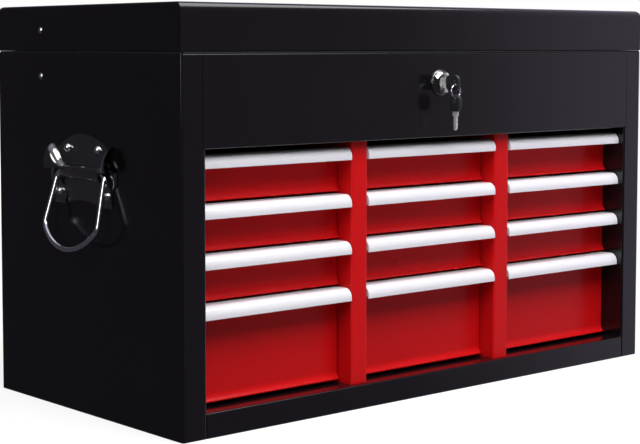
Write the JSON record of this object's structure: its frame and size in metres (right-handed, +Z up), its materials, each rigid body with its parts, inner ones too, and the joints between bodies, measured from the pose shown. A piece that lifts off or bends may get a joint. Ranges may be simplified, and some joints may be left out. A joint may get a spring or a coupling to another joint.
{
  "type": "tool box with drawers",
  "caption": "Portable steel tool box with rows of drawers in columns, full-width pulls, a lidded top tray, a key lock and a folding bail handle on each side.",
  "frame": {"origin": "centre of the underside", "axes": "+X to the right across the width, -Y to the drawer fronts, +Z up"},
  "size_m": [0.6652, 0.3359, 0.377],
  "materials": {
    "black_paint": "gloss black enamel",
    "red_paint": "gloss red enamel",
    "pull_aluminium": "bright satin anodised",
    "chrome": "polished",
    "zinc_steel": "zinc plated",
    "key_bow": "black moulded bow on a plated blade"
  },
  "bodies": {
    "case": {"side_panel_left": "black_paint", "side_panel_right": "black_paint", "bottom_pan": "black_paint", "back_panel": "black_paint", "front_panel": "black_paint", "tray_floor": "black_paint", "divider_left": "red_paint", "divider_right": "red_paint", "liner_left": "black_paint", "liner_right": "black_paint", "hinge_leaf_case": "black_paint", "hinge_pin": "zinc_steel", "stay_rivets_case": "chrome", "lock_body": "chrome", "lock_nut": "zinc_steel", "handle_plate_left": "black_paint", "handle_plate_right": "black_paint", "handle_fasteners": "chrome"},
    "lid": {"lid_shell": "black_paint", "lid_catch": "zinc_steel", "hinge_leaf_lid": "black_paint", "stay_rivets_lid": "chrome"},
    "stay_lower_left": {"stay_lower_left": "zinc_steel", "stay_knee_rivet_left": "chrome"},
    "stay_lower_right": {"stay_lower_right": "zinc_steel", "stay_knee_rivet_right": "chrome"},
    "stay_upper_left": {"stay_upper_left": "zinc_steel"},
    "stay_upper_right": {"stay_upper_right": "zinc_steel"},
    "lock_plug": {"lock_plug": "chrome", "lock_cam": "zinc_steel", "cam_screw": "zinc_steel", "key": "key_bow"},
    "key_ring": {"key_ring": "chrome"},
    "spare_key": {"spare_key": "key_bow"},
    "bail_left": {"bail_left": "chrome"},
    "bail_right": {"bail_right": "chrome"},
    "drawer_left_1": {"drawer_left_1": "red_paint", "pull_left_1": "pull_aluminium"},
    "drawer_left_2": {"drawer_left_2": "red_paint", "pull_left_2": "pull_aluminium"},
    "drawer_left_3": {"drawer_left_3": "red_paint", "pull_left_3": "pull_aluminium"},
    "drawer_left_4": {"drawer_left_4": "red_paint", "pull_left_4": "pull_aluminium"},
    "drawer_middle_1": {"drawer_middle_1": "red_paint", "pull_middle_1": "pull_aluminium"},
    "drawer_middle_2": {"drawer_middle_2": "red_paint", "pull_middle_2": "pull_aluminium"},
    "drawer_middle_3": {"drawer_middle_3": "red_paint", "pull_middle_3": "pull_aluminium"},
    "drawer_middle_4": {"drawer_middle_4": "red_paint", "pull_middle_4": "pull_aluminium"},
    "drawer_right_1": {"drawer_right_1": "red_paint", "pull_right_1": "pull_aluminium"},
    "drawer_right_2": {"drawer_right_2": "red_paint", "pull_right_2": "pull_aluminium"},
    "drawer_right_3": {"drawer_right_3": "red_paint", "pull_right_3": "pull_aluminium"},
    "drawer_right_4": {"drawer_right_4": "red_paint", "pull_right_4": "pull_aluminium"}
  },
  "joints": [
    {"name": "lid_hinge", "type": "hinge", "parent": "case", "child": "lid", "pos_m": [0, 0.1525, 0.33375], "axis": [-1, 0, 0], "range_deg": [0, 90]},
    {"name": "stay_lower_left_pivot", "type": "hinge", "parent": "case", "child": "stay_lower_left", "pos_m": [-0.30485, 0.073, 0.3107], "axis": [-1, 0, 0], "range_deg": [0, 88]},
    {"name": "stay_upper_left_pivot", "type": "hinge", "parent": "lid", "child": "stay_upper_left", "pos_m": [-0.30305, 0.073, 0.354], "axis": [-1, 0, 0], "range_deg": [-90, 0]},
    {"name": "stay_lower_right_pivot", "type": "hinge", "parent": "case", "child": "stay_lower_right", "pos_m": [0.30485, 0.073, 0.3107], "axis": [-1, 0, 0], "range_deg": [0, 88]},
    {"name": "stay_upper_right_pivot", "type": "hinge", "parent": "lid", "child": "stay_upper_right", "pos_m": [0.30305, 0.073, 0.354], "axis": [-1, 0, 0], "range_deg": [-90, 0]},
    {"name": "lock_turn", "type": "hinge", "parent": "case", "child": "lock_plug", "pos_m": [0, -0.15, 0.304], "axis": [0, 1, 0], "range_deg": [0, 90]},
    {"name": "key_ring_swing", "type": "hinge", "parent": "lock_plug", "child": "key_ring", "pos_m": [0, -0.1709, 0.30203], "axis": [1, 0, 0], "range_deg": [-60, 10]},
    {"name": "spare_key_turn", "type": "hinge", "parent": "key_ring", "child": "spare_key", "pos_m": [0, -0.1709, 0.29603], "axis": [0, 1, 0], "range_deg": [-100, 0]},
    {"name": "bail_left_swing", "type": "hinge", "parent": "case", "child": "bail_left", "pos_m": [-0.3128, 0, 0.2235], "axis": [0, 1, 0], "range_deg": [0, 75.5]},
    {"name": "bail_right_swing", "type": "hinge", "parent": "case", "child": "bail_right", "pos_m": [0.3128, 0, 0.2235], "axis": [0, -1, 0], "range_deg": [0, 75.5]},
    {"name": "drawer_left_1_slide", "type": "slide", "parent": "case", "child": "drawer_left_1", "axis": [0, -1, 0], "range_m": [0, 0.2]},
    {"name": "drawer_left_2_slide", "type": "slide", "parent": "case", "child": "drawer_left_2", "axis": [0, -1, 0], "range_m": [0, 0.2]},
    {"name": "drawer_left_3_slide", "type": "slide", "parent": "case", "child": "drawer_left_3", "axis": [0, -1, 0], "range_m": [0, 0.2]},
    {"name": "drawer_left_4_slide", "type": "slide", "parent": "case", "child": "drawer_left_4", "axis": [0, -1, 0], "range_m": [0, 0.2]},
    {"name": "drawer_middle_1_slide", "type": "slide", "parent": "case", "child": "drawer_middle_1", "axis": [0, -1, 0], "range_m": [0, 0.2]},
    {"name": "drawer_middle_2_slide", "type": "slide", "parent": "case", "child": "drawer_middle_2", "axis": [0, -1, 0], "range_m": [0, 0.2]},
    {"name": "drawer_middle_3_slide", "type": "slide", "parent": "case", "child": "drawer_middle_3", "axis": [0, -1, 0], "range_m": [0, 0.2]},
    {"name": "drawer_middle_4_slide", "type": "slide", "parent": "case", "child": "drawer_middle_4", "axis": [0, -1, 0], "range_m": [0, 0.2]},
    {"name": "drawer_right_1_slide", "type": "slide", "parent": "case", "child": "drawer_right_1", "axis": [0, -1, 0], "range_m": [0, 0.2]},
    {"name": "drawer_right_2_slide", "type": "slide", "parent": "case", "child": "drawer_right_2", "axis": [0, -1, 0], "range_m": [0, 0.2]},
    {"name": "drawer_right_3_slide", "type": "slide", "parent": "case", "child": "drawer_right_3", "axis": [0, -1, 0], "range_m": [0, 0.2]},
    {"name": "drawer_right_4_slide", "type": "slide", "parent": "case", "child": "drawer_right_4", "axis": [0, -1, 0], "range_m": [0, 0.2]}
  ],
  "couplings": [
    {"joint": "stay_lower_left_pivot", "follows": "lid_hinge", "ratio": 0.966},
    {"joint": "stay_upper_left_pivot", "follows": "lid_hinge", "ratio": -0.986},
    {"joint": "stay_lower_right_pivot", "follows": "lid_hinge", "ratio": 0.966},
    {"joint": "stay_upper_right_pivot", "follows": "lid_hinge", "ratio": -0.986},
    {"joint": "spare_key_turn", "follows": "lock_turn", "ratio": -1}
  ]
}
